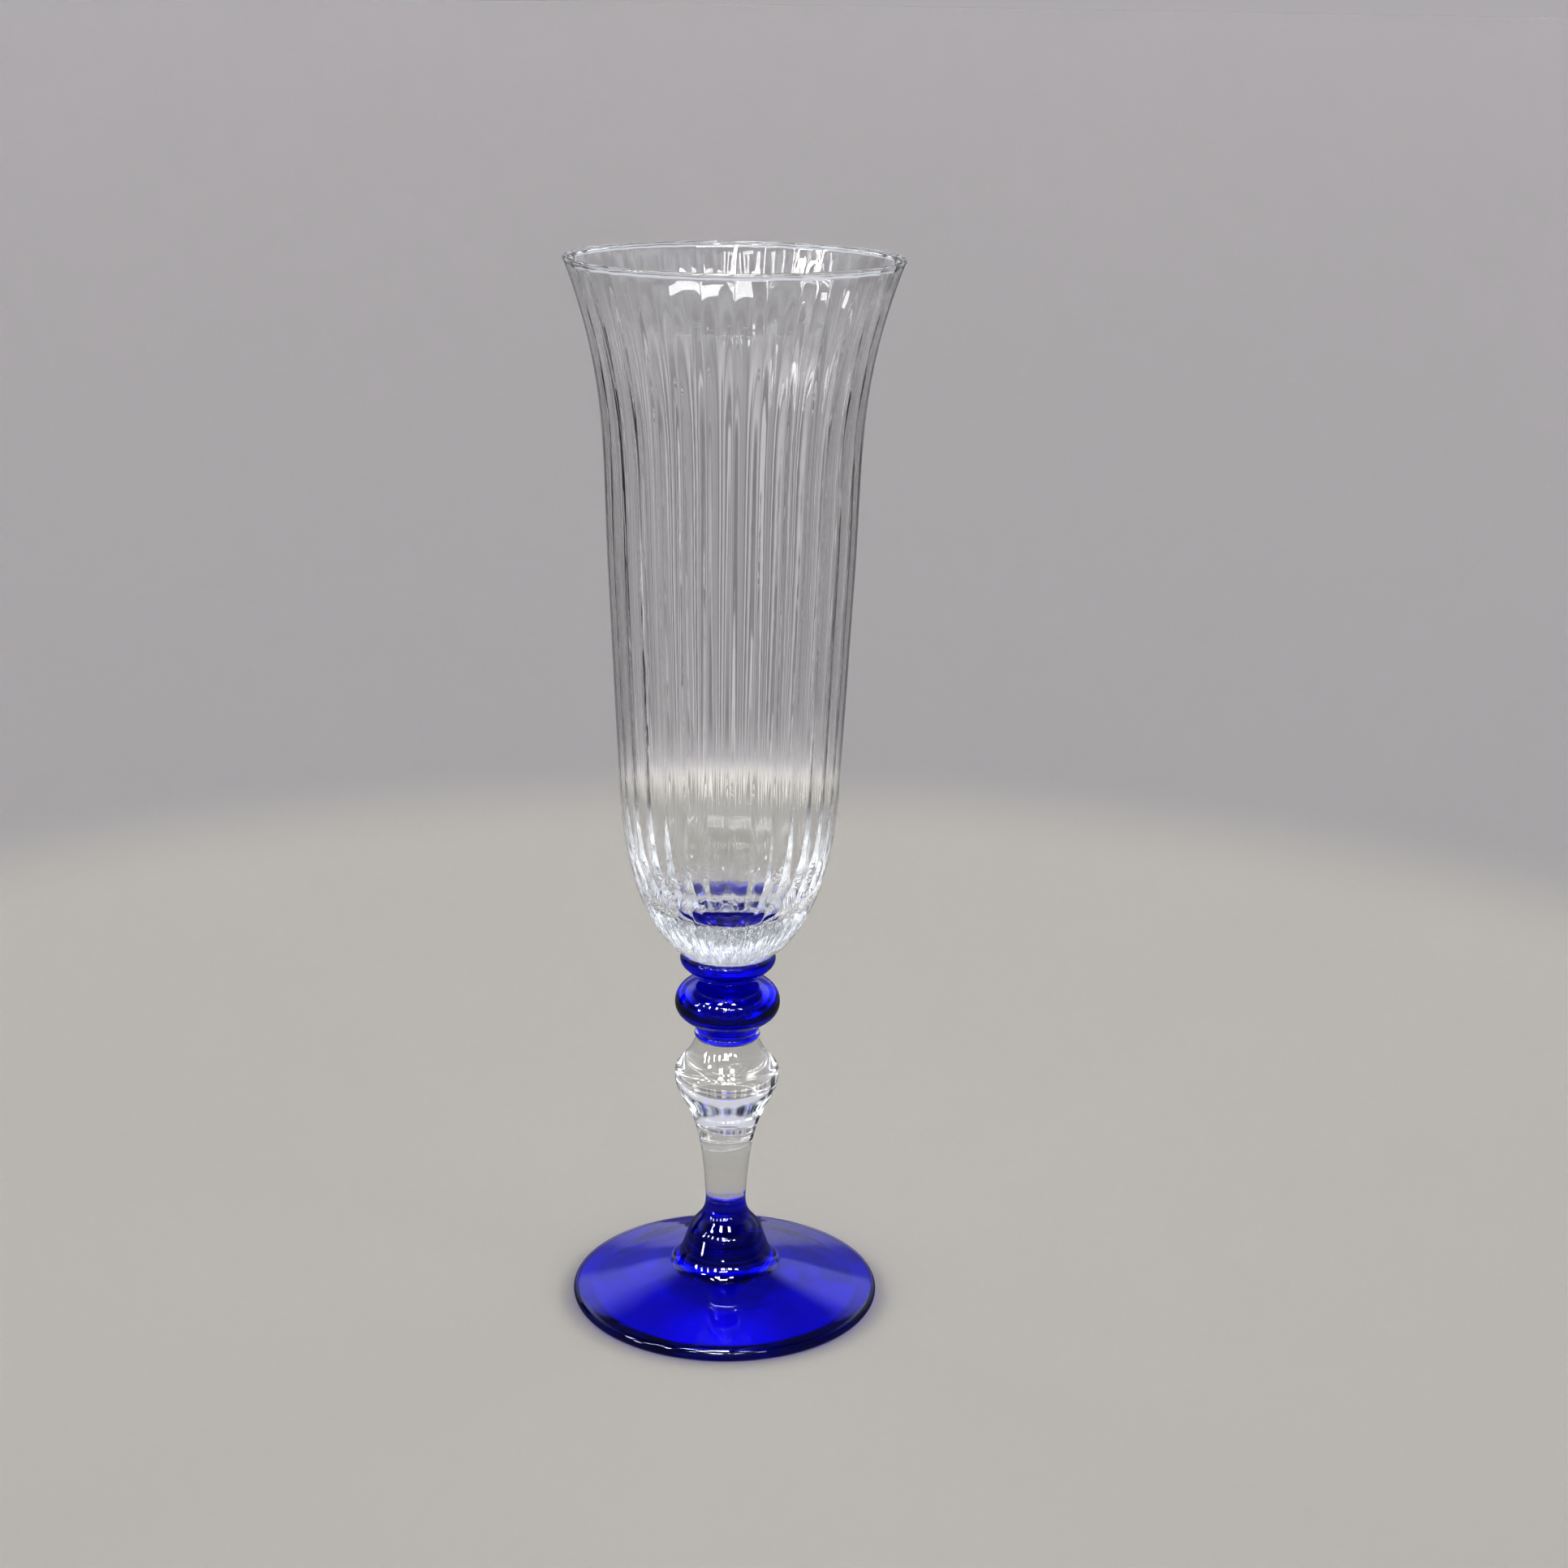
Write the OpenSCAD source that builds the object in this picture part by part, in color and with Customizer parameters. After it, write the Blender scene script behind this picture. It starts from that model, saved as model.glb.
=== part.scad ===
// Champagne flute: a rib-moulded clear bowl on a cobalt merese and ring knop,
// a clear baluster stem and a cobalt foot. Every piece is a solid of revolution
// about +Z. The pieces are stacked, each one standing on the flat end of the one
// below it, as the hot gathers of the real glass are. Millimetres.

/* [Bowl] */
// Height of the bowl above its seat on the merese
bowl_h = 139.2; // [125:0.1:170]
// Outside diameter over the flared rim
rim_d = 64.8; // [54:0.1:80]
// Thickness of the lip, which is also the rim's full rounding
lip_t = 1.1; // [0.8:0.1:2]
// Lean of the flare at the rim, in degrees from upright
rim_lean = 20; // [10:1:35]
// Outside diameter where the flare begins
throat_d = 48; // [44:0.1:53]
// Height of the throat above the seat
throat_h = 79.2; // [60:0.1:100]
// Outside diameter where the wall rounds under
shoulder_d = 43.8; // [38:0.1:48]
// Height of that shoulder above the seat
shoulder_h = 36.2; // [28:0.1:48]
// Wall thickness between shoulder and throat
wall_t = 1.5; // [1:0.1:2.5]
// Thickness of the solid floor above the seat
floor_t = 9.5; // [4:0.1:12]
// Diameter of the flat seat that is fused to the merese
seat_d = 17.8; // [12:0.1:19]
// Lean of the bowl's side where it leaves the seat, in degrees
seat_lean = 56; // [40:1:70]

/* [Merese] */
// Height of the merese, the thin disc under the bowl
merese_h = 4.9; // [4:0.1:8]
// Widest diameter of the merese
merese_d = 19.4; // [19.2:0.1:26]
// Height of the merese's rounded upper edge
merese_edge_h = 1.1; // [0.6:0.1:2]
// Diameter of the neck between the merese and the ring knop
neck_d = 12.1; // [9:0.1:16]

/* [Ring knop] */
// Height of the ring knop, from the stem to the neck
knop_h = 11.9; // [10:0.1:16]
// Widest diameter of the ring knop
knop_d = 21.4; // [18:0.1:28]
// Height of the ring's widest line above the stem
knop_belly_h = 6.2; // [5:0.1:8]
// Diameter of the collar under the ring
collar_d = 14; // [13:0.1:18]
// Height of that collar above the stem
collar_h = 1.7; // [1:0.1:3]
// Diameter of the joint between the ring knop and the stem
joint_d = 12.4; // [9:0.1:13]

/* [Baluster stem] */
// Height of the clear stem
stem_h = 37.2; // [30:0.1:60]
// Widest diameter of the baluster
baluster_d = 21.3; // [18:0.1:28]
// Height of that widest line below the top of the stem
baluster_drop = 9.4; // [8:0.1:14]
// Diameter of the stem where it meets the foot
waist_d = 8.3; // [7:0.1:12]

/* [Foot] */
// Height of the foot, from the table to the stem
foot_h = 21.8; // [20:0.1:30]
// Outside diameter of the foot
foot_d = 63.4; // [52:0.1:80]
// Thickness of the foot's rounded edge
foot_edge_t = 2.8; // [2:0.1:4]
// Slope of the top of the foot, in degrees from level
foot_slope = 13.5; // [8:0.5:16]
// Diameter at which the top of the foot sweeps up into the boss
boss_base_d = 23.6; // [20:0.1:30]
// Diameter of the boss at its shoulder
boss_d = 15.8; // [13:0.1:20]
// Height of the boss's shoulder below the stem
boss_drop = 8; // [6:0.1:10]
// Width of the flat ring that the foot rests on
rest_w = 3.3; // [2:0.1:6]
// Height of the hollow under the middle of the foot
hollow_h = 3.6; // [1:0.1:5]

/* [Hidden] */
$fn = 128;
// Steps along one curved stretch of an outline
curve_steps = 16;
// Steps round the lip and round the foot's edge
nose_steps = 10;
// Handle length, as a share of the stretch, that turns a curve into a quarter round
quarter = 0.55;
// Levels of the joints, from the table up
stem_z = foot_h;
knop_z = stem_z + stem_h;
merese_z = knop_z + knop_h;
bowl_z = merese_z + merese_h;
// Radii that two pieces share
waist_r = waist_d / 2;
joint_r = joint_d / 2;
neck_r = neck_d / 2;
seat_r = seat_d / 2;

// Point at a distance from p, in the direction that leans outward from upright by lean
function along(p, lean, distance) = p + distance * [sin(lean), cos(lean)];

// Curve from p to q that leaves p at one lean and arrives at q at another. reach_p and
// reach_q are its handles, as shares of the rise between the two points.
function sweep(p, lean_p, reach_p, q, lean_q, reach_q) =
    let (
        rise = q[1] - p[1],
        a = along(p, lean_p, reach_p * rise),
        b = along(q, lean_q, -reach_q * rise)
    )
    [for (i = [0 : curve_steps])
        let (t = i / curve_steps, u = 1 - t)
        u * u * u * p + 3 * u * u * t * a + 3 * u * t * t * b + t * t * t * q];

// Points on an arc about c, from one angle to another
function nose(c, r, from, to) =
    [for (i = [0 : nose_steps])
        let (angle = from + (to - from) * i / nose_steps)
        c + r * [cos(angle), sin(angle)]];

// The list without its first point, for joining it to the end of another list
function rest_of(points) = [for (i = [1 : len(points) - 1]) points[i]];

// The list from its last point to its first
function reversed(points) = [for (i = [len(points) - 1 : -1 : 0]) points[i]];

// A side of the bowl from its shoulder to the lip: a straight wall, then the flare
function bowl_side(shoulder, throat, lip) =
    let (wall_lean = atan2(throat[0] - shoulder[0], throat[1] - shoulder[1]))
    concat([shoulder], sweep(throat, wall_lean, 0.39, lip, rim_lean, 0.41));

// Outline of the bowl's glass, standing on its seat at height zero
function bowl_outline() =
    let (
        shoulder = [shoulder_d / 2, shoulder_h],
        throat = [throat_d / 2, throat_h],
        inner_shoulder = shoulder - [wall_t, 0],
        inner_throat = throat - [wall_t, 0],
        wall_lean = atan2(throat[0] - shoulder[0], throat[1] - shoulder[1]),
        lip_r = lip_t / 2,
        lip_c = [rim_d / 2 - lip_r, bowl_h - lip_r],
        lip = nose(lip_c, lip_r, -rim_lean, 180 - rim_lean),
        floor_top = [0, floor_t],
        floor_reach = quarter * inner_shoulder[0] / (shoulder_h - floor_t),
        outer_base = sweep([seat_r, 0], seat_lean, 0.333, shoulder, wall_lean, 0.336),
        inner_base = sweep(floor_top, 90, floor_reach, inner_shoulder, wall_lean, 0.6),
        outer = bowl_side(shoulder, throat, lip[0]),
        inner = bowl_side(inner_shoulder, inner_throat, lip[nose_steps])
    )
    concat([[0, 0]], outer_base, rest_of(outer), rest_of(lip),
        rest_of(reversed(inner)), rest_of(reversed(inner_base)));

// Outline of the merese, standing on the ring knop's neck at height zero
function merese_outline() =
    let (
        widest = [merese_d / 2, merese_h - merese_edge_h],
        under = sweep([neck_r, 0], 0, 0.126, widest, 0, 0.58),
        edge = sweep(widest, 0, quarter, [seat_r, merese_h], -90, 0.4)
    )
    concat([[0, 0]], under, rest_of(edge), [[0, merese_h]]);

// Outline of the ring knop, standing on the stem at height zero
function knop_outline() =
    let (
        widest = [knop_d / 2, knop_belly_h],
        collar = [collar_d / 2, collar_h],
        under = sweep(collar, 42, 0.1, widest, 0, 0.67),
        over = sweep(widest, 0, 0.74, [neck_r, knop_h], 0, 0.17)
    )
    concat([[0, 0], [joint_r, 0]], under, rest_of(over), [[0, knop_h]]);

// Outline of the baluster stem, standing on the foot at height zero
function stem_outline() =
    let (
        widest = [baluster_d / 2, stem_h - baluster_drop],
        shank = sweep([waist_r, 0], 2.4, 0.82, widest, 0, 0.23),
        head = sweep(widest, 0, 0.4, [joint_r, stem_h], -20, 0.8)
    )
    concat([[0, 0]], shank, rest_of(head), [[0, stem_h]]);

// Outline of the foot, standing on the table at height zero
function foot_outline() =
    let (
        edge_r = foot_edge_t / 2,
        edge_c = [foot_d / 2 - edge_r, edge_r],
        edge = nose(edge_c, edge_r, -90, 90 - foot_slope),
        edge_top = edge[nose_steps],
        base_r = boss_base_d / 2,
        base = [base_r, edge_top[1] + (edge_top[0] - base_r) * tan(foot_slope)],
        boss = [boss_d / 2, foot_h - boss_drop],
        flank = sweep(base, foot_slope - 90, 0.34, boss, -19, 0.31),
        top = sweep(boss, -17, 0.47, [waist_r, foot_h], 0, 0.58),
        rest_r = edge_c[0] - rest_w,
        hollow_reach = quarter * rest_r / hollow_h,
        hollow = sweep([rest_r, 0], -75, 0.5 * hollow_reach, [0, hollow_h], -90, hollow_reach)
    )
    concat(reversed(hollow), edge, flank, rest_of(top), [[0, foot_h]]);

// A piece of glass turned about the axis, raised to the level that it stands on
module turned(outline, level) {
    translate([0, 0, level])
        rotate_extrude()
            polygon(outline);
}

module foot() {
    color("mediumblue")
        turned(foot_outline(), 0);
}

module baluster_stem() {
    color("lightcyan")
        turned(stem_outline(), stem_z);
}

module ring_knop() {
    color("navy")
        turned(knop_outline(), knop_z);
}

module merese() {
    color("mediumblue")
        turned(merese_outline(), merese_z);
}

module bowl() {
    color("aliceblue", 0.5)
        turned(bowl_outline(), bowl_z);
}

foot();
baluster_stem();
ring_knop();
merese();
bowl();
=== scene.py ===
# %% [markdown]
# # A cobalt and clear champagne flute
# The glass is five pieces of hot-worked glass, fused end to end: a cobalt foot, a clear
# baluster stem, a cobalt ring knop, a cobalt merese and a clear, rib-moulded bowl. The packed
# model gives the place and the size of each. This lesson builds the glass again as fine
# surfaces, because flat facets that are too small to see on plaster are plain to see in glass,
# where every facet bends the light its own way.

import math

import bpy
import numpy as np
from mathutils import Matrix, Vector


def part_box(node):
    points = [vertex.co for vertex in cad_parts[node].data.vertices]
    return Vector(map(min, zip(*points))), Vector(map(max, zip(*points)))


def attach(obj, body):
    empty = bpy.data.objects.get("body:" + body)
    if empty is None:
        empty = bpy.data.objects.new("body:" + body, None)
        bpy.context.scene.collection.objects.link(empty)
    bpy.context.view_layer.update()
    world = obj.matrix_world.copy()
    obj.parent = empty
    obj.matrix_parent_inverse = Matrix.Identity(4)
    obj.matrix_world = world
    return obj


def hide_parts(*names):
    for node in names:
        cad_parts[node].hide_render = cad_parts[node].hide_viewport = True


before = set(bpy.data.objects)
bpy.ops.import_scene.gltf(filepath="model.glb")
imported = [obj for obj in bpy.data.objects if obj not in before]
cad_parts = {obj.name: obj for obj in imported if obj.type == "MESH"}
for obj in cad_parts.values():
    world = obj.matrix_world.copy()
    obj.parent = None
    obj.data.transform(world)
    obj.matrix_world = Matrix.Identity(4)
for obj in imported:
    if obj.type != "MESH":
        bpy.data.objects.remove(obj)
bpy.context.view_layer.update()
MM = 0.001

# %% [markdown]
# ## The camera
# It stands a little over half a metre away and looks down at the glass by about 17 degrees,
# so the rim shows as a thin ellipse and the foot as a wider one. The camera is made from three
# directions instead of three angles, because a roll of a degree is easier to see that way.

# %% The camera
CAMERA_DISTANCE = 512.7 * MM
CAMERA_HEIGHT = 263.8 * MM
LOOK_DOWN = math.radians(16.55)
LOOK_ASIDE = math.radians(1.21)
ROLL = math.radians(0.903)
LENS = 61.66

ahead = Vector((math.sin(LOOK_ASIDE) * math.cos(LOOK_DOWN),
                math.cos(LOOK_ASIDE) * math.cos(LOOK_DOWN),
                -math.sin(LOOK_DOWN)))
level_right = Vector((math.cos(LOOK_ASIDE), -math.sin(LOOK_ASIDE), 0.0))
level_up = level_right.cross(ahead)
right = level_right * math.cos(ROLL) + level_up * math.sin(ROLL)
up = level_up * math.cos(ROLL) - level_right * math.sin(ROLL)

camera = bpy.data.objects.new("camera", bpy.data.cameras.new("camera"))
camera.data.lens = LENS
camera.matrix_world = Matrix((
    (right.x, up.x, -ahead.x, 0.0),
    (right.y, up.y, -ahead.y, -CAMERA_DISTANCE),
    (right.z, up.z, -ahead.z, CAMERA_HEIGHT),
    (0.0, 0.0, 0.0, 1.0)))
bpy.context.scene.collection.objects.link(camera)
bpy.context.scene.camera = camera
print("camera", round(camera.location.length, 3), "m from the foot")

# %% [markdown]
# ## Outlines
# A glassmaker shapes every one of these pieces by turning it, so each has an outline, and the
# surface is that outline carried round the axis. The outline is a chain of cubic curves. A
# curve is given by its two ends, the lean of the glass at each end, and how far it holds on to
# that lean. That is how one describes a silhouette: upright here, leaning out by so much there.

# %% Curves for the outlines
CURVE_STEPS = 48


def along(point, lean, distance):
    """The point plus distance times (sine of lean, cosine of lean), lean being from upright."""
    lean = math.radians(lean)
    return np.asarray(point, float) + distance * np.array([math.sin(lean), math.cos(lean)])


def sweep(start, lean_start, reach_start, end, lean_end, reach_end, steps=CURVE_STEPS):
    """Cubic curve from start to end, as rows of (radius, height).

    With u = 1 - t it is u^3 start + 3 u^2 t a + 3 u t^2 b + t^3 end, where a lies ahead of start
    and b lies before end, each along its own lean by its reach times the rise between the ends.
    """
    start, end = np.asarray(start, float), np.asarray(end, float)
    rise = end[1] - start[1]
    a = along(start, lean_start, reach_start * rise)
    b = along(end, lean_end, -reach_end * rise)
    t = np.linspace(0.0, 1.0, steps + 1)[:, None]
    u = 1.0 - t
    return u ** 3 * start + 3 * u ** 2 * t * a + 3 * u * t ** 2 * b + t ** 3 * end


def arc(centre, radius, start, end, steps):
    """Points at centre + radius (cosine, sine) of angles from start to end, in degrees."""
    angle = np.radians(np.linspace(start, end, steps + 1))
    return np.asarray(centre, float) + radius * np.stack([np.cos(angle), np.sin(angle)], 1)


def chain(*stretches):
    """The stretches end to end, without the points where one begins on the end of another."""
    points = np.concatenate([np.atleast_2d(s) for s in stretches])
    step = np.linalg.norm(np.diff(points, axis=0), axis=1)
    return points[np.concatenate([[True], step > 1e-7])]


print("a quarter round:", np.round(sweep((0, 0), 90, 0.55, (1, 1), 0, 0.55, 4), 3).tolist())

# %% [markdown]
# ## Turning an outline into a piece
# The grid has one row for each point of the outline and one column for each angle. The rows at
# the two ends lie on the axis, so each is a single vertex with a fan of triangles, and the
# piece is a closed skin with no seam. That matters for glass: a renderer only knows where the
# glass begins and ends if the skin has no hole.
#
# Each joint gets a hair's overlap. Two pieces that only touch would leave light in doubt as to
# which it meets first, and a gap would shine like a mirror, which fused glass doesn't.

# %% A turned surface
FUSE = 0.06 * MM


def evenly(columns):
    """Angles of equal steps round the axis, in radians."""
    return np.arange(columns) * (2.0 * math.pi / columns)


def turned(name, outline, a, shape=None):
    """Mesh object with vertices (r cos a, r sin a, z) for each outline row (r, z) and angle a.

    shape(r, z, a, row) may return changed r and z arrays for the whole grid. The outline starts
    and ends on the axis, and runs from the bottom to the top on the glass's outside.
    """
    columns = len(a)
    inner = outline[1:-1]
    row = np.arange(len(inner))[:, None]
    r, z, angle = np.broadcast_arrays(inner[:, :1], inner[:, 1:], a[None, :])
    if shape is not None:
        r, z = shape(r, z, angle, row)
    grid = np.stack([r * np.cos(angle), r * np.sin(angle), z], -1).reshape(-1, 3)
    poles = [[0.0, 0.0, outline[0, 1]], [0.0, 0.0, outline[-1, 1]]]
    vertices = np.concatenate([grid, poles])

    j = np.arange(columns)
    k = (j + 1) % columns
    base = row[:-1] * columns
    quads = np.stack([base + j, base + k, base + columns + k, base + columns + j], -1)
    last = (len(inner) - 1) * columns
    bottom = np.stack([np.full(columns, len(grid)), k, j], -1)
    top = np.stack([np.full(columns, len(grid) + 1), last + j, last + k], -1)
    faces = quads.reshape(-1, 4).tolist() + bottom.tolist() + top.tolist()

    mesh = bpy.data.meshes.new(name)
    mesh.from_pydata(vertices, [], faces)
    mesh.shade_smooth()
    mesh.update()
    piece = bpy.data.objects.new(name, mesh)
    bpy.context.scene.collection.objects.link(piece)
    triangles = 2 * len(quads.reshape(-1, 4)) + 2 * columns
    print(f"{name}: {triangles} triangles, top at {outline[:, 1].max() / MM:.1f} mm")
    return piece


def stands_for(piece, node):
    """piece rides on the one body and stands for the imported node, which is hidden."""
    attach(piece, "root")
    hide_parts(node)
    return piece


def level(node):
    """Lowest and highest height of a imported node."""
    low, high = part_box(node)
    return low.z, high.z


def radius(node):
    """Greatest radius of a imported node."""
    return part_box(node)[1].x


# %% [markdown]
# ## The foot
# A foot is a gather of cobalt dropped on the end of the stem and opened out between two wooden
# paddles. Its edge is fire-polished to a round, its top slopes like a low hat, and the boss in
# the middle is what is left of the gather. Underneath it is hollow, so that it stands on a ring
# and doesn't rock. A paddle leaves faint swells round the disc, which is why a real foot never
# reflects like a turned one, so the top gets three slow waves, each one to three hundredths of a
# millimetre high.

# %% The foot
EDGE_THICKNESS = 2.8 * MM
FOOT_SLOPE = 13.5
BOSS_BASE_R = 11.8 * MM
BOSS_R = 7.9 * MM
BOSS_DROP = 8.0 * MM
REST_WIDTH = 3.3 * MM
HOLLOW_HEIGHT = 3.6 * MM
WAIST_R = 4.15 * MM
QUARTER = 0.55  # the reach that makes a sweep close to a quarter round
AIR_UNDER = 0.06 * MM
# Waves round the disc: height in millimetres, waves per turn, turn per metre outwards, and phase
SWELLS = ((0.030, 3, 0.0, 0.6), (0.022, 5, -170.0, 0.0), (0.014, 9, 0.0, 0.0))
SWELL_FROM, SWELL_FULL, SWELL_TO_EDGE = 10 * MM, 6 * MM, 5 * MM


def foot_outline():
    """Hollow, rest ring, half-round edge, sloping top and boss, from the axis to the axis."""
    foot_z, top_z = level("foot")
    half = EDGE_THICKNESS / 2
    edge_centre = np.array([radius("foot") - half, foot_z + half])
    edge = arc(edge_centre, half, -90, 90 - FOOT_SLOPE, 20)
    drop = (edge[-1, 0] - BOSS_BASE_R) * math.tan(math.radians(FOOT_SLOPE))
    base = (BOSS_BASE_R, edge[-1, 1] + drop)
    boss = (BOSS_R, top_z - BOSS_DROP)
    rest_r = edge_centre[0] - REST_WIDTH
    reach = QUARTER * rest_r / HOLLOW_HEIGHT
    hollow = sweep((rest_r, foot_z), -75, 0.5 * reach, (0.0, foot_z + HOLLOW_HEIGHT), -90, reach)
    flank = sweep(base, FOOT_SLOPE - 90, 0.34, boss, -19, 0.31)
    shoulder = sweep(boss, -17, 0.47, (WAIST_R, top_z), 0, 0.58)
    disc = np.linspace(edge[-1], base, 24)
    ring = np.linspace((rest_r, foot_z), edge[0], 6)
    return chain(hollow[::-1], ring, edge, disc, flank, shoulder, (0.0, top_z))


def paddle_swells(r, z, a, row):
    """Adds to z, on the top only, three slow waves round the disc that fade at edge and boss.

    Each wave is its height times the cosine of (waves times angle, plus turn times r, plus phase).
    The rest ring is held a hair above the table, because glass never truly meets a cloth.
    """
    off_edge = np.clip((radius("foot") - r) / SWELL_TO_EDGE, 0, 1)
    off_boss = np.clip((r - SWELL_FROM) / SWELL_FULL, 0, 1)
    on_top = z > 0.9 * EDGE_THICKNESS
    wave = sum(height * np.cos(count * a + turn * r + phase)
               for height, count, turn, phase in SWELLS)
    lifted = z + off_edge * off_boss * on_top * wave * MM
    return r, np.maximum(lifted, level("foot")[0] + AIR_UNDER)


foot = turned("cobalt_foot", foot_outline(), evenly(256), paddle_swells)
stands_for(foot, "foot")

# %% [markdown]
# ## The baluster stem
# The stem is solid. It is pulled from a clear gather and pinched with the jacks, so its
# swelling is high up and its shank runs down to a waist above the foot. The jacks leave
# shallow rings where they bit, slightly tilted because the pipe was turning: they are what
# catches the light as bright arcs on the shank.

# %% The baluster stem
BALUSTER_DROP = 9.4 * MM
JOINT_R = 6.2 * MM
MENISCUS = 0.55 * MM
MENISCUS_DROP = 0.55 * MM
JACK_RINGS = (
    # height, depth, width and tilt of a ring in millimetres, and the direction it rises to,
    # in degrees from the right of the glass
    (48.5, 0.06, 0.30, 0.8, -130.0),
    (38.0, 0.15, 0.24, 0.6, 180.0),
    (34.0, 0.14, 0.22, 0.7, 0.0),
)


def stem_outline():
    """Shank from the waist up to the swelling, head, and a bead of glass round the joint."""
    low, high = level("baluster_stem")
    widest = (radius("baluster_stem"), high - BALUSTER_DROP)
    shank = sweep((WAIST_R, low), 2.4, 0.82, widest, 0, 0.23, 300)
    head = sweep(widest, 0, 0.4, (JOINT_R, high - 2 * MENISCUS_DROP), -20, 0.8)
    bead = arc((JOINT_R, high - MENISCUS_DROP), MENISCUS, -80, 80, 10)
    return chain((0.0, low - FUSE), (WAIST_R, low - FUSE), shank, head, bead,
                 (JOINT_R - FUSE, high + FUSE), (0.0, high + FUSE))


def jack_marks(r, z, a, row):
    """Takes from r, for each ring, its depth times a bell curve of the height off its tilt."""
    for height, depth, width, tilt, towards in JACK_RINGS:
        off = (z / MM - height - tilt * np.cos(a - math.radians(towards))) / width
        r = r - depth * MM * np.exp(-off ** 2)
    return r, z


stem = turned("clear_stem", stem_outline(), evenly(192), jack_marks)
stands_for(stem, "baluster_stem")

# %% [markdown]
# ## The ring knop and the merese
# Both are wafers of cobalt. The lower one is squeezed into a fat ring with a short collar under
# it; the upper one is flattened to a thin disc that the bowl sits on. Between them is a neck
# about as wide as a pencil and a half. When a hot wafer is stuck on a hot stem it sinks in a
# little, so the cobalt ends in a rounded plug inside the clear glass. The plug is what shows,
# from the side, as a blue band under the collar.

# %% The ring knop and the merese
KNOP_BELLY = 6.2 * MM
COLLAR_R = 7.0 * MM
COLLAR_HEIGHT = 1.7 * MM
NECK_R = 6.05 * MM
PLUG_R = 5.8 * MM
PLUG_DEPTH = 2.2 * MM
MERESE_EDGE = 1.1 * MM
SEAT_R = 8.9 * MM


def knop_outline():
    """Rounded plug that reaches down into the stem, collar, fat ring and neck."""
    low, high = level("ring_knop")
    widest = (radius("ring_knop"), low + KNOP_BELLY)
    collar = (COLLAR_R, low + COLLAR_HEIGHT)
    under = sweep(collar, 42, 0.1, widest, 0, 0.67)
    over = sweep(widest, 0, 0.74, (NECK_R, high), 0, 0.17)
    side = np.linspace((JOINT_R, low), collar, 6)
    plug = sweep((0.0, low - PLUG_DEPTH), 90, 3.0, (PLUG_R, low), 0, 0.6)
    return chain(plug, side, under, over, (NECK_R, high + FUSE), (0.0, high + FUSE))


def merese_outline():
    """Hollowed underside, rounded edge and the flat seat of the bowl."""
    low, high = level("merese")
    widest = (radius("merese"), high - MERESE_EDGE)
    under = sweep((NECK_R, low), 0, 0.126, widest, 0, 0.58)
    edge = sweep(widest, 0, QUARTER, (SEAT_R, high), -90, 0.4, 16)
    return chain((0.0, low - FUSE), (NECK_R, low - FUSE), under, edge,
                 (SEAT_R - FUSE, high + FUSE), (0.0, high + FUSE))


knop = turned("cobalt_ring_knop", knop_outline(), evenly(192))
stands_for(knop, "ring_knop")
merese = turned("cobalt_merese", merese_outline(), evenly(192))
stands_for(merese, "merese")

# %% [markdown]
# ## The bowl
# The bowl is blown into a ribbed mould and then opened. Its outside fire-polishes almost smooth,
# and most of each rib is on the inside, from the lip down to the floor. Each rib is a long lens.
# That is why the wall is full of thin bright and dark lines: each rib gathers what is beside
# the glass into a stripe. The columns of the surface crowd together at the valleys between
# ribs, because that is where the wall turns fastest.

# %% The bowl
BEAD_R = 0.43 * MM
NECK_THICKNESS = 0.64 * MM
BEAD_NECK_DROP = 1.1 * MM
RIM_LEAN = 20.0
THROAT_R, THROAT_HEIGHT = 24.0 * MM, 79.2 * MM
SHOULDER_R, SHOULDER_HEIGHT = 21.9 * MM, 36.2 * MM
WALL = 1.5 * MM
FLOOR = 9.5 * MM
SEAT_LEAN = 56.0
RIBS = 32
COLUMNS_PER_RIB = 14
CROWDING = 0.84
VALLEY_SOFTNESS = 0.08
LIP_SCALLOP = 0.12 * MM
CROWN_SHARE = 0.6  # how far up a rib its mean height lies
# Height of a rib from valley to crown, in millimetres, by height above the seat in millimetres:
# on the inside and on the outside
RIB_LEVELS = (0.0, 6.0, 14.0, 30.0, 44.0, 110.0, 132.0, 139.2)
RIBS_INSIDE = (0.0, 0.09, 0.18, 0.38, 0.34, 0.34, 0.20, 0.08)
RIBS_OUTSIDE = (0.06, 0.09, 0.10, 0.12, 0.07, 0.06, 0.05, 0.04)
INSIDE_FULL_R = 12 * MM
SEAT_CLEAR, SEAT_FADE = 0.2 * MM, 1.5 * MM
FLOOR_TURNS_UP, FLOOR_FADE = 20, 10
LIP_FROM, LIP_FADE = 138, 1.2


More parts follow.
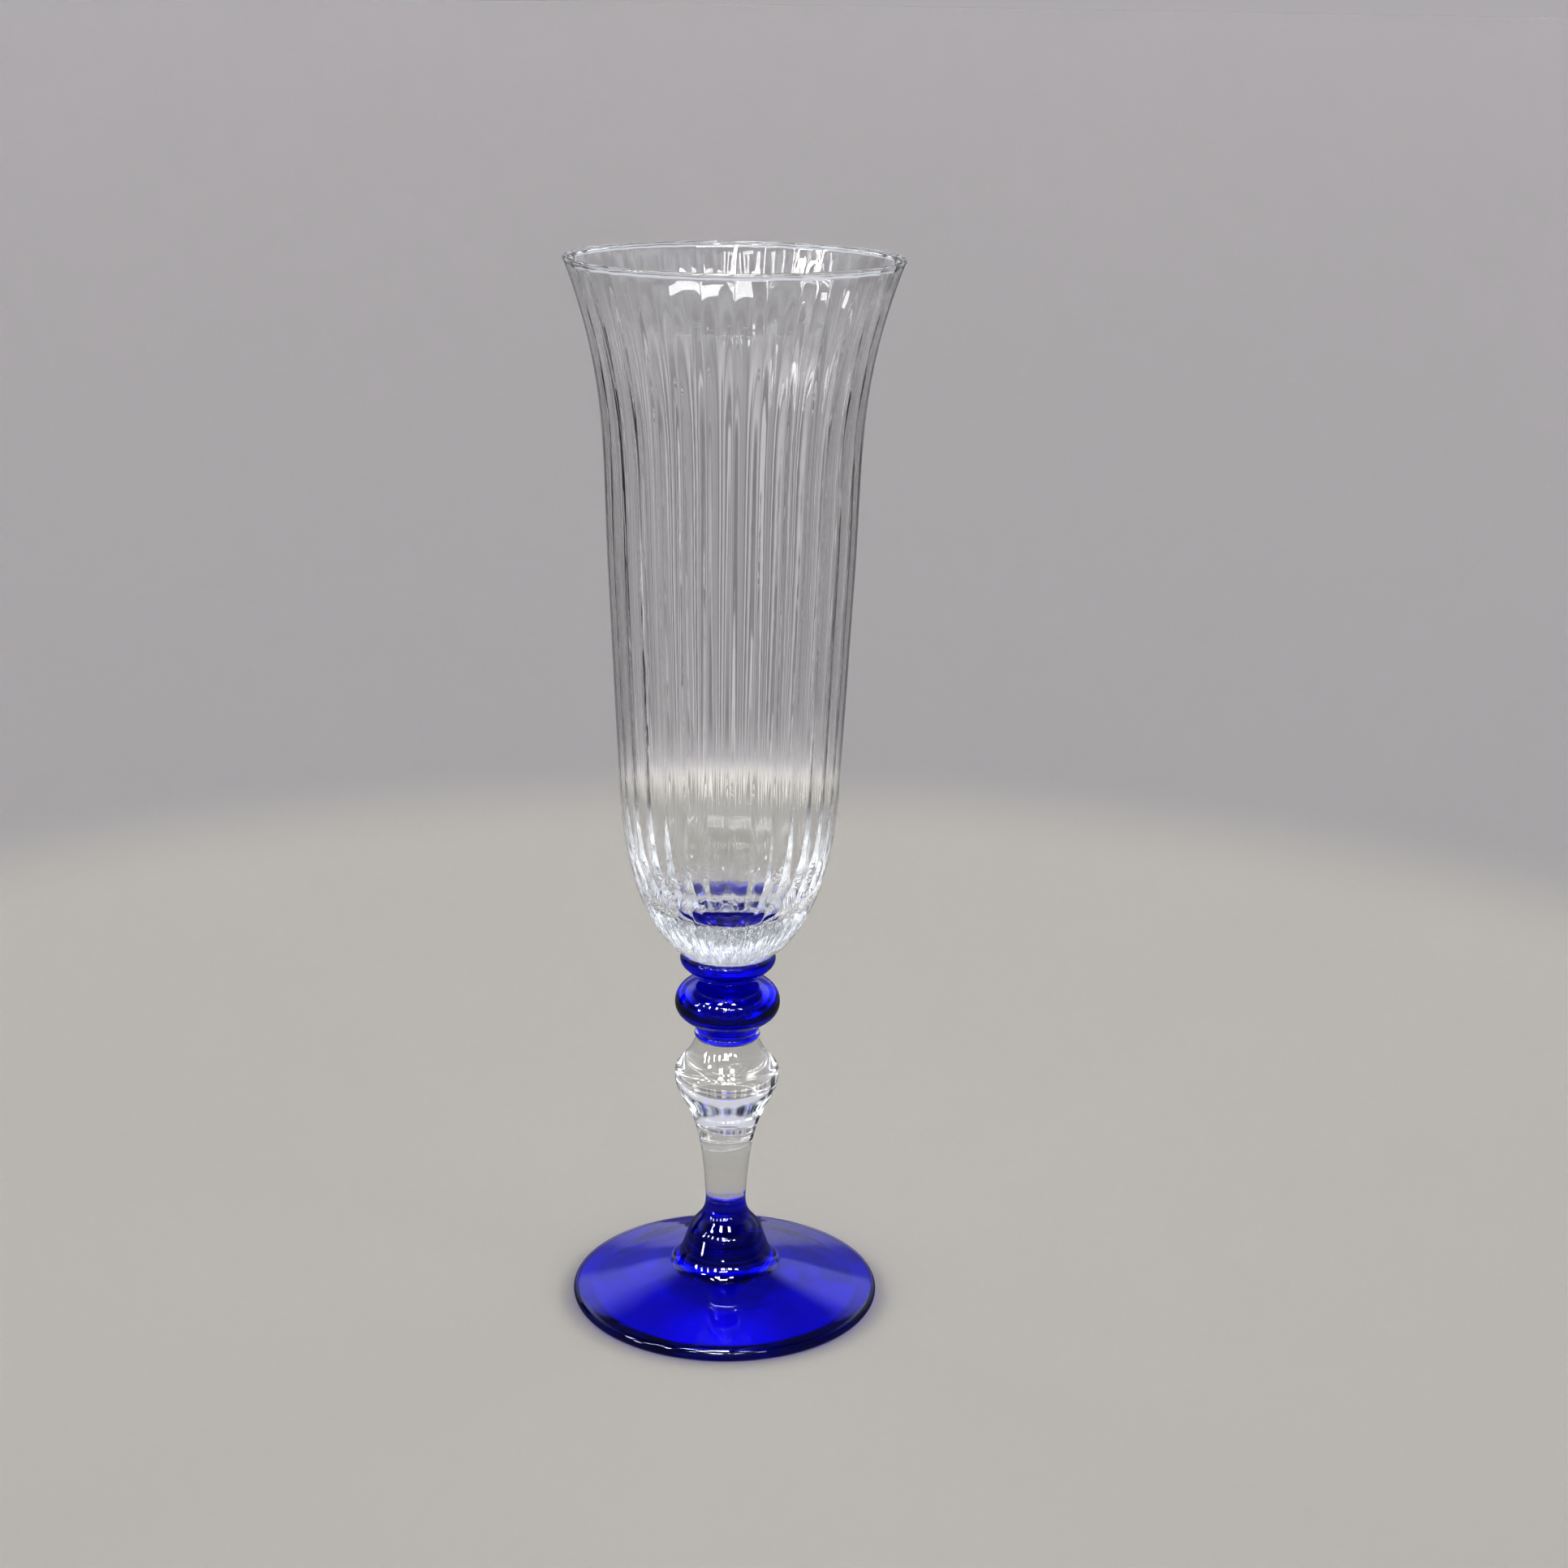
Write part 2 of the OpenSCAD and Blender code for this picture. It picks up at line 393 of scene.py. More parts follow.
def bowl_outline():
    """Outer wall up from the seat, round lip, inner wall down to the floor's middle.

    Also returns the number of the row, at the top of the lip, where the inside begins.
    """
    seat_z, rim_z = level("bowl")
    shoulder = np.array([SHOULDER_R, seat_z + SHOULDER_HEIGHT])
    throat = np.array([THROAT_R, seat_z + THROAT_HEIGHT])
    inward = np.array([WALL, 0.0])
    lean = math.degrees(math.atan2(*(throat - shoulder)))
    bead_centre = np.array([radius("bowl") - BEAD_R, rim_z - BEAD_R])
    lip = arc(bead_centre, BEAD_R, -RIM_LEAN - 35, 215 - RIM_LEAN, 18)
    neck = along(bead_centre, RIM_LEAN, -BEAD_NECK_DROP)
    across = along((0.0, 0.0), RIM_LEAN + 90, NECK_THICKNESS / 2)
    floor_top = np.array([0.0, seat_z + FLOOR])
    reach = QUARTER * (SHOULDER_R - WALL) / (SHOULDER_HEIGHT - FLOOR)

    outside = chain(
        (0.0, seat_z - FUSE), (SEAT_R, seat_z - FUSE),
        sweep((SEAT_R, seat_z), SEAT_LEAN, 0.333, shoulder, lean, 0.336, 34),
        np.linspace(shoulder, throat, 14),
        sweep(throat, lean, 0.39, neck + across, RIM_LEAN, 0.41, 40))
    inside = chain(
        sweep(throat - inward, lean, 0.39, neck - across, RIM_LEAN, 0.41, 40)[::-1],
        np.linspace(throat - inward, shoulder - inward, 14),
        sweep(floor_top, 90, reach, shoulder - inward, lean, 0.6, 44)[::-1])
    return chain(outside, lip, inside), len(outside) + len(lip) // 2


def rib_columns():
    """Angles round the bowl, crowded at the valleys, where the glass turns most.

    Within one rib the step t becomes t - c sin(2 pi t) / (2 pi), c being the crowding.
    """
    t = np.arange(COLUMNS_PER_RIB) / COLUMNS_PER_RIB
    t = t - CROWDING * np.sin(2 * math.pi * t) / (2 * math.pi)
    return ((np.arange(RIBS)[:, None] + t[None, :]) * (2 * math.pi / RIBS)).ravel()


def mould_ribs(r, z, a, row):
    """Adds a rib wave to the wall: 32 rounded crowns with narrow valleys between them.

    The wave is the absolute sine of half the rib angle, softened at its cusp, less its mean.
    Inside, a crown stands towards the axis; outside, away from it. Where the inside is the
    floor of the bowl, the wave mostly lifts the glass instead of thickening the wall, and the
    lip only dips between crowns, so nothing rises above the rim's height.
    """
    s = VALLEY_SOFTNESS
    crest = (np.sqrt(np.sin(RIBS * a / 2) ** 2 + s ** 2) - s) / (math.sqrt(1 + s ** 2) - s)
    wave = crest - CROWN_SHARE
    rise = (z - level("bowl")[0]) / MM
    inside = row >= BOWL_INSIDE_ROW
    height = np.where(inside, np.interp(rise, RIB_LEVELS, RIBS_INSIDE),
                      np.interp(rise, RIB_LEVELS, RIBS_OUTSIDE)) * MM
    off_axis = np.clip(r / INSIDE_FULL_R, 0, 1)
    off_seat = np.clip((r - SEAT_R - SEAT_CLEAR) / SEAT_FADE, 0, 1)
    height = height * np.where(inside, off_axis, off_seat)
    on_floor = inside * np.clip((FLOOR_TURNS_UP - rise) / FLOOR_FADE, 0, 1)
    side = np.where(inside, -1.0, 1.0) * (1 - 0.8 * on_floor)
    at_lip = np.clip((rise - LIP_FROM) / LIP_FADE, 0, 1)
    lift = on_floor * height + at_lip * LIP_SCALLOP
    return r + side * wave * height, z + lift * (wave - (1 - on_floor) * (1 - CROWN_SHARE))


BOWL_OUTLINE, BOWL_INSIDE_ROW = bowl_outline()
bowl = turned("clear_bowl", BOWL_OUTLINE, rib_columns(), mould_ribs)
stands_for(bowl, "bowl")

# %% [markdown]
# ## Glass
# All the glass is fire-polished, and that finish has its own detail: the skin is perfectly
# glossy and yet not flat, because it set while it was flowing. The first node group below makes
# that slow waviness from stretched noise. The second adds what the mould and the iron leave on
# a blown bowl: fine streaks that run up it, strong near the seat and faint above. Both only turn
# the normal, and both read the piece's own coordinates, so they stay with the glass. The streaks
# are bump and not geometry because each is only two or three columns of the surface wide, and
# would show as facets.
#
# The colour of the cobalt comes from its depth, as in the real thing, so it is an absorption in
# the volume and not a painted colour. It takes red and green at once and blue slowly: a thin
# disc is bright blue, and a thick ring or an edge seen along its depth is nearly navy.

# %% Helpers for shader nodes


def put(tree, socket, value):
    """Gives a socket a number or a colour, or links it to another socket."""
    if isinstance(value, (int, float, tuple)):
        socket.default_value = value
    else:
        tree.links.new(value, socket)


def node_maths(tree):
    """A function that adds a Math node to the tree; its arguments are sockets or numbers."""
    def add(operation, *values):
        node = tree.nodes.new("ShaderNodeMath")
        node.operation = operation
        for socket, value in zip(node.inputs, values):
            put(tree, socket, value)
        return node.outputs[0]
    return add


def vector_maths(tree, operation, *values, scale=1.0):
    """Adds a Vector Math node to the tree; gives its number if it makes one, or its vector."""
    node = tree.nodes.new("ShaderNodeVectorMath")
    node.operation = operation
    for socket, value in zip(node.inputs, values):
        put(tree, socket, value)
    if operation == "SCALE":
        put(tree, node.inputs["Scale"], scale)
    return node.outputs["Value" if operation in ("LENGTH", "DISTANCE") else "Vector"]


def soft_step(tree, value, start, end):
    """0 before start and 1 after end, smoothly between."""
    node = tree.nodes.new("ShaderNodeMapRange")
    node.interpolation_type = "SMOOTHSTEP"
    for label, given in (("Value", value), ("From Min", start), ("From Max", end)):
        put(tree, node.inputs[label], given)
    return node.outputs["Result"]


def blend(tree, factor, first, second):
    """The first colour where factor is 0 and the second where it is 1."""
    node = tree.nodes.new("ShaderNodeMix")
    node.data_type = "RGBA"
    for label, given in (("Factor", factor), ("A", first), ("B", second)):
        put(tree, node.inputs[label], given)
    return node.outputs["Result"]


def noise(tree, place, scale, detail):
    """Smooth noise from 0 to 1 at a place."""
    node = tree.nodes.new("ShaderNodeTexNoise")
    for label, given in (("Vector", place), ("Scale", scale), ("Detail", detail)):
        put(tree, node.inputs[label], given)
    return node.outputs["Fac"]


def joined(tree, x, y, z):
    """The vector of three numbers."""
    node = tree.nodes.new("ShaderNodeCombineXYZ")
    for socket, value in zip(node.inputs, (x, y, z)):
        put(tree, socket, value)
    return node.outputs["Vector"]


def bumped(tree, height_mm, normal=None):
    """The normal of a skin raised by a height in millimetres."""
    node = tree.nodes.new("ShaderNodeBump")
    node.inputs["Distance"].default_value = 1.0 * MM
    put(tree, node.inputs["Height"], height_mm)
    if normal is not None:
        put(tree, node.inputs["Normal"], normal)
    return node.outputs["Normal"]


def object_place(tree):
    """The x, y and z sockets of the object's own coordinates."""
    split = tree.nodes.new("ShaderNodeSeparateXYZ")
    place = tree.nodes.new("ShaderNodeTexCoord")
    tree.links.new(place.outputs["Object"], split.inputs["Vector"])
    return split.outputs


def new_group(name, inputs, outputs):
    """An empty shader node group with inputs (name, default) and outputs (name, kind).

    An input is a number, or a vector if its default is None.
    """
    group = bpy.data.node_groups.new(name, "ShaderNodeTree")
    for label, value in inputs:
        kind = "NodeSocketVector" if value is None else "NodeSocketFloat"
        socket = group.interface.new_socket(label, in_out="INPUT", socket_type=kind)
        if value is not None:
            socket.default_value = value
    for label, kind in outputs:
        group.interface.new_socket(label, in_out="OUTPUT", socket_type=kind)
    return group, group.nodes.new("NodeGroupInput"), group.nodes.new("NodeGroupOutput")


print("shader helpers ready, in units of", MM, "m")

# %% The two groups for the skin of the glass


def fire_polish_group():
    """Normal of a skin with slow waves: height is noise on object coordinates, squeezed along Z."""
    group, given, out = new_group(
        "fire_polish",
        [("Wave size mm", 9.0), ("Wave height mm", 0.05), ("Stretch", 0.4)],
        [("Normal", "NodeSocketVector")])
    maths = node_maths(group)
    x, y, z = object_place(group)
    place = joined(group, x, y, maths("MULTIPLY", z, given.outputs["Stretch"]))
    per_metre = maths("DIVIDE", 1.0 / MM, given.outputs["Wave size mm"])
    waves = noise(group, place, per_metre, 1.0)
    height = maths("MULTIPLY", waves, given.outputs["Wave height mm"])
    group.links.new(bumped(group, height), out.inputs["Normal"])
    return group


def mould_streaks_group():
    """Normal of fine streaks that run up the piece: noise on the direction from the axis.

    They crowd where the piece is narrow. They are full below one height and fade to a share of
    that above another.
    """
    group, given, out = new_group(
        "mould_streaks",
        [("Normal", None), ("Streak height mm", 0.1), ("Streaks round", 18.0),
         ("Streak length mm", 9.0), ("Full below mm", 90.0), ("Faded above mm", 104.0),
         ("Share above", 0.2)],
        [("Normal", "NodeSocketVector")])
    maths = node_maths(group)
    x, y, z = object_place(group)
    turn = maths("ARCTAN2", y, x)
    height_mm = maths("DIVIDE", z, MM)
    place = joined(group, maths("MULTIPLY", maths("COSINE", turn), given.outputs["Streaks round"]),
                   maths("MULTIPLY", maths("SINE", turn), given.outputs["Streaks round"]),
                   maths("DIVIDE", height_mm, given.outputs["Streak length mm"]))
    streaks = noise(group, place, 1.0, 1.0)
    fade = soft_step(group, height_mm, given.outputs["Full below mm"],
                     given.outputs["Faded above mm"])
    share = maths("ADD", maths("SUBTRACT", 1.0, fade),
                  maths("MULTIPLY", fade, given.outputs["Share above"]))
    height = maths("MULTIPLY", maths("MULTIPLY", streaks, share),
                   given.outputs["Streak height mm"])
    group.links.new(bumped(group, height, given.outputs["Normal"]), out.inputs["Normal"])
    return group


FIRE_POLISH = fire_polish_group()
MOULD_STREAKS = mould_streaks_group()
print("groups:", FIRE_POLISH.name, len(FIRE_POLISH.nodes), "nodes,",
      MOULD_STREAKS.name, len(MOULD_STREAKS.nodes), "nodes")

# %% [markdown]
# Three finishes are made from them: clear glass for the stem, the same with streaks for the
# blown bowl, and cobalt for the rest. One soda-lime batch gives all three the same refraction.

# %% The glasses


def glass(name, polish, streaks=None, absorbs=None):
    """Glass whose skin goes through one group or both, with the values given for each.

    absorbs is the rate, per metre, at which it takes (R, G, B) from the light.
    """
    material = bpy.data.materials.new(name)
    material.use_nodes = True
    nodes, link = material.node_tree.nodes, material.node_tree.links.new
    skin = nodes["Principled BSDF"]
    skin.inputs["Base Color"].default_value = (1.0, 1.0, 1.0, 1.0)
    skin.inputs["Roughness"].default_value = 0.0
    skin.inputs["IOR"].default_value = REFRACTION
    skin.inputs["Transmission Weight"].default_value = 1.0
    normal = None
    for group, values in ((FIRE_POLISH, polish), (MOULD_STREAKS, streaks)):
        if values is None:
            continue
        node = nodes.new("ShaderNodeGroup")
        node.node_tree = group
        for label, value in values.items():
            node.inputs[label].default_value = value
        if normal is not None:
            link(normal, node.inputs["Normal"])
        normal = node.outputs["Normal"]
    link(normal, skin.inputs["Normal"])
    if absorbs is not None:
        most = max(absorbs)
        depth = nodes.new("ShaderNodeVolumeAbsorption")
        depth.inputs["Density"].default_value = most
        depth.inputs["Color"].default_value = (*[1.0 - a / most for a in absorbs], 1.0)
        link(depth.outputs["Volume"], nodes["Material Output"].inputs["Volume"])
    return material


REFRACTION = 1.52
# What a metre of cobalt takes from red, green and blue
COBALT_TAKES = (640.0, 880.0, 32.0)
SLOW_WAVES = {"Wave size mm": 9.0, "Wave height mm": 0.05, "Stretch": 0.25}
STREAKS = {"Streak height mm": 0.95, "Streaks round": 15.0, "Streak length mm": 5.0,
           "Full below mm": 82.0, "Faded above mm": 88.0, "Share above": 0.012}
BLOWN = glass("clear_blown_glass", SLOW_WAVES, streaks=STREAKS)
CLEAR = glass("clear_glass", SLOW_WAVES)
COBALT = glass("cobalt_glass", {"Wave size mm": 7.0, "Wave height mm": 0.06, "Stretch": 0.6},
               absorbs=COBALT_TAKES)
bowl.data.materials.append(BLOWN)
stem.data.materials.append(CLEAR)
for piece in (foot, knop, merese):
    piece.data.materials.append(COBALT)
print("8 mm of cobalt passes", [round(math.exp(-a * 8 * MM), 3) for a in COBALT_TAKES])

# %% [markdown]
# ## The table
# The table is a plain pale floor. It turns from a warm to a cooler grey a good third of a metre
# from the glass, as where a cloth ends.
#
# But clear glass is drawn by what stands round it, and on an empty floor it would be nearly
# invisible. So the rays that have been through glass, or off it, find a livelier table than the
# eye does: painted light and shade of soft folds in the distance, a painted highlight in a ragged
# band where the cloth ends, which shows as the pale band low in the bowl, and a black flag at one
# side, which gives the thin dark lines that a glass photographer puts there on purpose. The Light
# Path node tells those rays apart. A ray that goes through glass counts as glossy too, so a true
# reflection is one that is glossy and not a transmission.
#
# Right under the foot the cloth is painted paler, palest in front: a painted pool of light for
# the light that cobalt glass gathers under itself. A thin painted shadow ring lies under the edge,
# where the foot shades the cloth.

# %% The table
TABLE_R = 40.0
WARM = (0.790, 0.735, 0.640, 1.0)
COOL = (0.640, 0.592, 0.560, 1.0)
CLOTH_R = 0.36
CLOTH_SOFT = 0.05
# Painted light and shade of soft folds, seen only by rays through or off glass
PAINTED_FOLD_SHADING_PER_TURN = 14.0
PAINTED_FOLD_SHADING_DEPTH = 2.0
DARKEST_PAINTED_FOLD_SHADING = 0.28
# Painted highlight: a bright ragged band just inside the cloth's edge, seen only through or off
# glass
PAINTED_HEM_HIGHLIGHT = 0.7
HEM_RAGGED = 0.24
PAINTED_HIGHLIGHT_IN, PAINTED_HIGHLIGHT_FULL, PAINTED_HIGHLIGHT_OUT = 0.06, 0.01, 0.08
PAINTED_FOLD_SHADING_END = (0.9, 1.7)
CLOTH_IN_GLASS = 0.84
CLOTH_IN_SHINE = 0.32
# Azimuths are in degrees, from 0 towards the camera, positive to its right
FLAG_AZIMUTH, FLAG_HALF_WIDTH, FLAG_SOFT = -122.0, 8.0, 1.0
# Painted pool of light under the foot, palest round a spot in front, for the light cobalt gathers
PAINTED_LIGHT_UNDER_FOOT = (0.62, 0.62, 0.66, 1.0)
PAINTED_LIGHT_UNDER_FRONT = (0.97, 0.97, 1.00, 1.0)
PAINTED_LIGHT_SPOT, PAINTED_LIGHT_SPOT_R = (0.0, -0.022, 0.0), (0.004, 0.017)
# Painted shadow: a dark ring on the cloth under the foot's edge
PAINTED_SHADOW_UNDER_EDGE = (0.16, 0.15, 0.15, 1.0)
LIT_R, SHADED_R, SHADE_SOFT, FOOT_R = 0.0300, 0.0306, 0.0006, 0.0312


def mirrored(tree, path):
    """1 for a ray whose last turn was a reflection off a shiny skin, and 0 for any other."""
    maths = node_maths(tree)
    return maths("MULTIPLY", path.outputs["Is Glossy Ray"],
                 maths("SUBTRACT", 1.0, path.outputs["Is Transmission Ray"]))


def off_flag(tree, azimuth):
    """0 in the direction of the black flag and 1 in every other."""
    maths = node_maths(tree)
    aside = maths("ABSOLUTE", maths("SUBTRACT", azimuth, FLAG_AZIMUTH))
    return soft_step(tree, aside, FLAG_HALF_WIDTH - FLAG_SOFT, FLAG_HALF_WIDTH)


def table_material():
    """Matt cloth, warm within a soft circle and cooler outside it, that glass sees with painted
    folds.

    What glass sees is the cloth times (a share, plus painted light and shade of folds by direction,
    plus a painted highlight band at the circle), times 0 beyond the circle where the black flag
    stands. Reflections see less. Under the foot the cloth carries a painted pool of light and a
    painted shadow ring.
    """
    material = bpy.data.materials.new("table_cloth")
    material.use_nodes = True
    tree = material.node_tree
    nodes, link, maths = tree.nodes, tree.links.new, node_maths(tree)
    skin = nodes["Principled BSDF"]
    skin.inputs["Roughness"].default_value = 0.9
    skin.inputs["Specular IOR Level"].default_value = 0.1
    place = nodes.new("ShaderNodeTexCoord").outputs["Object"]
    x, y, _ = object_place(tree)
    away = vector_maths(tree, "LENGTH", place)

    past_cloth = soft_step(tree, away, CLOTH_R - CLOTH_SOFT, CLOTH_R + CLOTH_SOFT)
    cloth = blend(tree, past_cloth, WARM, COOL)
    # Painted shadow: a dark ring under the foot's edge
    past_painted_shadow = soft_step(tree, away, FOOT_R - SHADE_SOFT, FOOT_R)
    cloth = blend(tree, past_painted_shadow, PAINTED_SHADOW_UNDER_EDGE, cloth)
    # Painted light: a pale pool under the foot, palest at a spot in front
    from_painted_light_spot = vector_maths(tree, "DISTANCE", place, PAINTED_LIGHT_SPOT)
    under = blend(tree, soft_step(tree, from_painted_light_spot, *PAINTED_LIGHT_SPOT_R), PAINTED_LIGHT_UNDER_FRONT, PAINTED_LIGHT_UNDER_FOOT)
    cloth = blend(tree, soft_step(tree, away, LIT_R, SHADED_R), under, cloth)

    # Painted light and shade of folds, by direction from the glass
    painted_fold_noise = noise(tree, vector_maths(tree, "NORMALIZE", place), PAINTED_FOLD_SHADING_PER_TURN, 2.0)
    painted_fold_shading = maths("MULTIPLY", maths("SUBTRACT", painted_fold_noise, 0.5), 2 * PAINTED_FOLD_SHADING_DEPTH)
    painted_fold_shading = maths("MAXIMUM", painted_fold_shading, -DARKEST_PAINTED_FOLD_SHADING)
    ragged = maths("MULTIPLY", away, maths("ADD", 1.0, maths("MULTIPLY", painted_fold_shading, HEM_RAGGED)))
    far = soft_step(tree, ragged, CLOTH_R - 2 * CLOTH_SOFT, CLOTH_R + CLOTH_SOFT)
    # Painted highlight: a bright band just inside the cloth's ragged edge
    painted_hem_highlight = maths("MULTIPLY", soft_step(tree, ragged, CLOTH_R - PAINTED_HIGHLIGHT_IN, CLOTH_R - PAINTED_HIGHLIGHT_FULL),
                maths("SUBTRACT", 1.0, soft_step(tree, ragged, CLOTH_R, CLOTH_R + PAINTED_HIGHLIGHT_OUT)))
    painted_fold_shading = maths("MULTIPLY", painted_fold_shading, maths("SUBTRACT", 1.0, soft_step(tree, away, *PAINTED_FOLD_SHADING_END)))
    azimuth = maths("DEGREES", maths("ARCTAN2", x, maths("MULTIPLY", y, -1.0)))
    no_flag = maths("MAXIMUM", off_flag(tree, azimuth), maths("SUBTRACT", 1.0, far))
    seen = maths("ADD", maths("ADD", CLOTH_IN_GLASS, maths("MULTIPLY", painted_fold_shading, far)),
                 maths("MULTIPLY", painted_hem_highlight, PAINTED_HEM_HIGHLIGHT))
    seen = maths("MULTIPLY", seen, no_flag)

    path = nodes.new("ShaderNodeLightPath")
    shine = maths("MULTIPLY", mirrored(tree, path), 1.0 - CLOTH_IN_SHINE)
    seen = maths("MULTIPLY", seen, maths("SUBTRACT", 1.0, shine))
    direct = path.outputs["Is Camera Ray"]
    tone = maths("ADD", maths("MULTIPLY", seen, maths("SUBTRACT", 1.0, direct)), direct)
    link(vector_maths(tree, "SCALE", cloth, scale=tone), skin.inputs["Base Color"])
    return material


def table():
    """A flat disc at the foot's level: a fan of triangles round one point."""
    count = 96
    a = np.arange(count) * (2 * math.pi / count)
    rim = np.stack([TABLE_R * np.cos(a), TABLE_R * np.sin(a), np.zeros(count)], 1)
    vertices = np.concatenate([rim, [[0.0, 0.0, 0.0]]])
    j = np.arange(count)
    mesh = bpy.data.meshes.new("table")
    mesh.from_pydata(vertices, [], np.stack([j, (j + 1) % count, np.full(count, count)], 1).tolist())
    mesh.update()
    top = bpy.data.objects.new("table", mesh)
    top.location.z = level("foot")[0]
    top.data.materials.append(table_material())
    bpy.context.scene.collection.objects.link(top)
    return top


table()
print("table at", round(level("foot")[0] / MM, 2), "mm, radius", TABLE_R, "m")

# %% [markdown]
# ## The light
# All the light is in the world, drawn by direction, so nothing hangs in the air that a view from
# another side could catch. It is one soft room: pale and even at the level of the table, a band
# of brighter wall above it, and a dark ceiling, which keeps the cobalt deep. Behind the glass
# and low at the two sides it is darker, so the wall of the bowl has something dark to gather,
# and in front it is dark to reflections alone, as when the room behind the lens is unlit.
# The flag on the table goes on up the wall. Above the horizon the room is mottled for every ray
# but a reflection, and the thick base of the bowl turns that into its fine sparkle.
#
# Fifteen small windows, some with bars, give the small hard highlights. Only rays off or
# through glass find them, so they throw no hard shadow. The eye itself sees a plain backdrop.

# %% A patch of light, by direction


def patch_group():
    """1 inside a patch of the sky and 0 outside: the product of two smooth steps and bars.

    Azimuth is 0 towards the camera and positive to its right, and elevation is the height above
    the horizon, both in degrees. The bars are where the cosine of (a full turn times azimuth
    over pitch) is above zero; a pitch much wider than the patch leaves it whole.
    """
    group, given, out = new_group(
        "sky_patch",
        [("Azimuth", 0.0), ("Elevation", 0.0), ("At azimuth", 0.0), ("At elevation", 0.0),
         ("Half width", 5.0), ("Half height", 5.0), ("Bar pitch", 1000.0)],
        [("Mask", "NodeSocketFloat")])
    maths = node_maths(group)

    def inside(value, centre, half):
        off = maths("ABSOLUTE", maths("SUBTRACT", value, centre))
        outside = soft_step(group, maths("SUBTRACT", off, half), 0.0, PATCH_SOFTNESS)
        return maths("SUBTRACT", 1.0, outside)

    turn = maths("SUBTRACT", given.outputs["Azimuth"], given.outputs["At azimuth"])
    across = inside(given.outputs["Azimuth"], given.outputs["At azimuth"],
                    given.outputs["Half width"])
    upward = inside(given.outputs["Elevation"], given.outputs["At elevation"],
                    given.outputs["Half height"])
    phase = maths("MULTIPLY", maths("DIVIDE", turn, given.outputs["Bar pitch"]), 2 * math.pi)
    bars = maths("GREATER_THAN", maths("COSINE", phase), 0.0)
    mask = maths("MULTIPLY", maths("MULTIPLY", across, upward), bars)
    group.links.new(mask, out.inputs["Mask"])
    return group


PATCH_SOFTNESS = 0.4  # degrees over which a patch fades at its edge
SKY_PATCH = patch_group()
print("sky patch group has", len(SKY_PATCH.nodes), "nodes")

# %% The room
SKY = (
    # elevation in degrees, and the colour there
    (-90.0, (0.50, 0.50, 0.52)),
    (9.0, (0.56, 0.56, 0.59)),
    (17.0, (1.35, 1.43, 1.55)),
    (35.0, (1.60, 1.69, 1.82)),
    (42.0, (0.16, 0.16, 0.18)),
    (90.0, (0.10, 0.10, 0.12)),
)
BACKDROP = (0.372, 0.358, 0.370, 1.0)
SKY_MOTTLE, MOTTLE_SCALE = 2.2, 9.0
MOTTLE_LEAST, MOTTLE_MOST = 0.10, 1.70
# Each pair below is where an effect starts and where it is full, in degrees of azimuth or of
# elevation.
MOTTLE_ABOVE = (8.0, 14.0)
FLAG_TOP = (18.0, 22.0)
BEHIND, BEHIND_ABOVE, BEHIND_DARKER = (140.0, 158.0), (10.0, 16.0), 0.40
ASIDE, ASIDE_FROM, ASIDE_TO, ASIDE_DARKER = (62.0, 85.0), (8.0, 12.0), (20.0, 24.0), 0.62
FRONT_ENDS, FRONT_SHINE = (75.0, 150.0), 0.08
WHOLE = 1000.0
PATCHES = (
    # azimuth, elevation, half width, half height, pitch of bars (degrees), strength
    (-2.0, 32.0, 7.0, 4.0, 6.0, 30.0),
    (-9.0, 35.5, 6.0, 1.0, WHOLE, 26.0),
    (-25.0, 32.0, 2.6, 4.0, WHOLE, 30.0),
    (-43.0, 31.0, 1.6, 5.0, WHOLE, 30.0),
    (-60.0, 30.5, 2.6, 5.0, 2.6, 26.0),
    (-74.0, 29.0, 0.8, 5.0, WHOLE, 26.0),
    (12.0, 27.8, 24.0, 1.6, 17.0, 36.0),
    (-6.0, 16.0, 3.0, 0.8, WHOLE, 26.0),
    (-75.0, 22.0, 3.0, 3.0, WHOLE, 26.0),
    (-64.0, 4.0, 3.0, 4.0, WHOLE, 20.0),
    (-58.0, 45.0, 5.0, 2.5, WHOLE, 26.0),
    (20.0, 57.0, 6.0, 4.0, WHOLE, 26.0),
    (-22.0, 57.0, 6.0, 5.0, WHOLE, 26.0),
    (-8.0, 72.0, 16.0, 5.0, WHOLE, 60.0),
    (-50.0, 70.0, 4.0, 5.0, WHOLE, 60.0),
)


